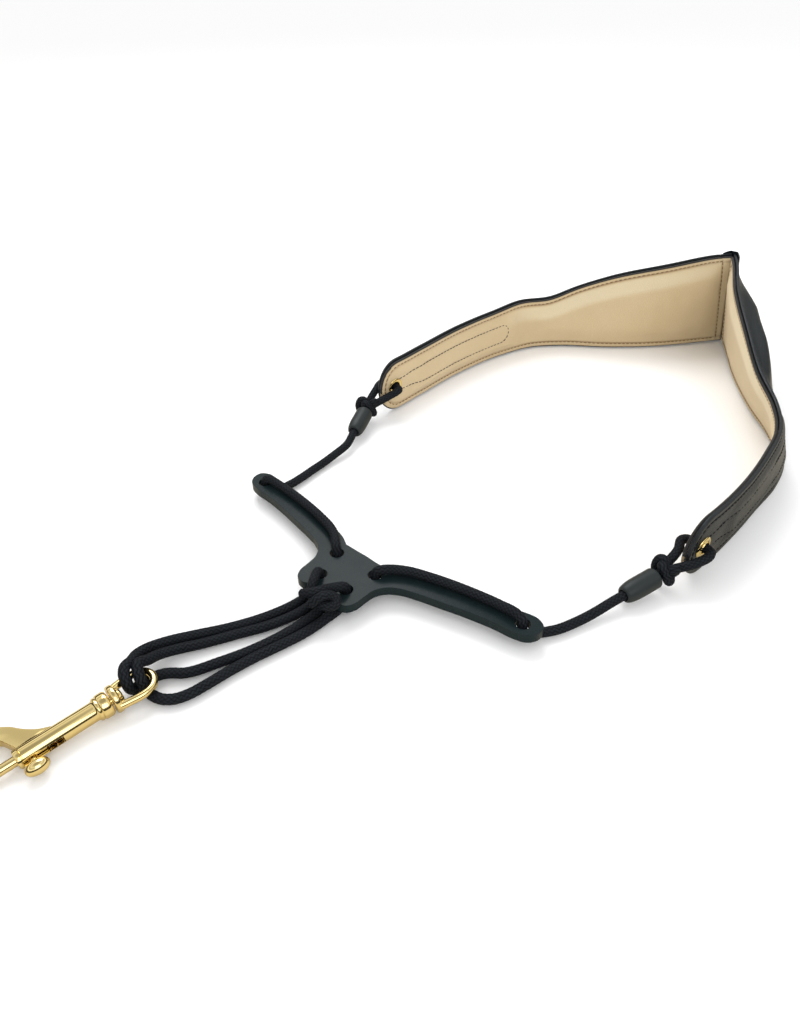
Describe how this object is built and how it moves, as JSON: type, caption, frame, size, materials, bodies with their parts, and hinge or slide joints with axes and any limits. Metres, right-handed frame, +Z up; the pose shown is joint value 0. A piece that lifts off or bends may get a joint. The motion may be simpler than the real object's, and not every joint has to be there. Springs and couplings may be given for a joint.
{
  "type": "saxophone neck strap",
  "caption": "Saxophone neck strap: padded leather neck pad, braided cord running through a flat metal balance yoke, and a swivel bolt snap for the instrument's ring.",
  "frame": {"origin": "on the table, at the middle of the strap's outline as it lies (measured without its cords)", "axes": "+Y along the yoke's centre line from the bolt snap to the neck pad's seam, +X to the yoke's right arm, +Z up from the table"},
  "size_m": [0.1725, 0.415, 0.0507],
  "materials": {
    "black_leather": "grained, satin",
    "tan_leather": "suede, matte",
    "foam": "matte",
    "webbing": "matte",
    "braided_cord": "braided, matte",
    "bead_plastic": "satin",
    "yoke_metal": "dark anodised, satin",
    "polished_brass": "polished",
    "spring_steel": "drawn wire"
  },
  "bodies": {
    "left_pad": {"left_cover": "black_leather", "left_lining": "tan_leather", "left_foam": "foam", "left_strip": "webbing", "left_eyelet": "polished_brass", "left_eyelet_washer": "polished_brass", "left_eyelet_loop": "braided_cord", "left_knot": "braided_cord", "left_neck_cord": "braided_cord", "seam_spine": "black_leather"},
    "right_pad": {"right_cover": "black_leather", "right_lining": "tan_leather", "right_foam": "foam", "right_strip": "webbing", "right_eyelet": "polished_brass", "right_eyelet_washer": "polished_brass", "right_eyelet_loop": "braided_cord", "right_knot": "braided_cord", "right_neck_cord_upper": "braided_cord"},
    "left_bead": {"left_bead": "bead_plastic"},
    "right_bead": {"right_bead": "bead_plastic"},
    "yoke": {"yoke_plate": "yoke_metal", "left_arm_cord": "braided_cord", "right_arm_cord": "braided_cord", "left_hook_loop": "braided_cord", "right_hook_loop": "braided_cord", "front_knot": "braided_cord", "right_neck_cord_lower": "braided_cord"},
    "eye": {"swivel_eye": "polished_brass"},
    "snap": {"snap_body": "polished_brass", "swivel_rivet": "polished_brass", "bolt_spring": "spring_steel"},
    "bolt": {"bolt": "polished_brass", "thumb_knob": "polished_brass"}
  },
  "joints": [
    {"name": "pad_fold", "type": "hinge", "parent": "left_pad", "child": "right_pad", "pos_m": [0.01284, 0.20086, 0.025], "axis": [0, 0, -1], "range_deg": [-2, 6], "deforming": ["right_neck_cord_upper"]},
    {"name": "left_bead_slide", "type": "slide", "parent": "left_pad", "child": "left_bead", "axis": [0.3633, -0.9235, -0.1231], "range_m": [0, 0.007]},
    {"name": "right_bead_slide", "type": "slide", "parent": "right_pad", "child": "right_bead", "axis": [-0.3494, -0.9294, -0.119], "range_m": [0, 0.007]},
    {"name": "yoke_slide", "type": "slide", "parent": "left_pad", "child": "yoke", "axis": [0, 1, 0], "range_m": [-0.022, 0.008], "deforming": ["left_neck_cord", "right_neck_cord_lower"]},
    {"name": "eye_slide", "type": "slide", "parent": "yoke", "child": "eye", "axis": [0, 1, 0], "range_m": [-0.004, 0.011], "deforming": ["left_hook_loop", "right_hook_loop"]},
    {"name": "snap_swivel", "type": "hinge", "parent": "eye", "child": "snap", "pos_m": [-0.02986, -0.14554, 0.0059], "axis": [-0.15, -0.987, -0.058], "continuous": true},
    {"name": "bolt_slide", "type": "slide", "parent": "snap", "child": "bolt", "axis": [0.15, 0.987, 0.058], "range_m": [0, 0.0072], "stiffness_N_per_m": 150, "springref_m": -0.004, "deforming": ["bolt_spring"]}
  ],
  "couplings": [
    {"joint": "eye_slide", "follows": "yoke_slide", "ratio": -0.5}
  ]
}
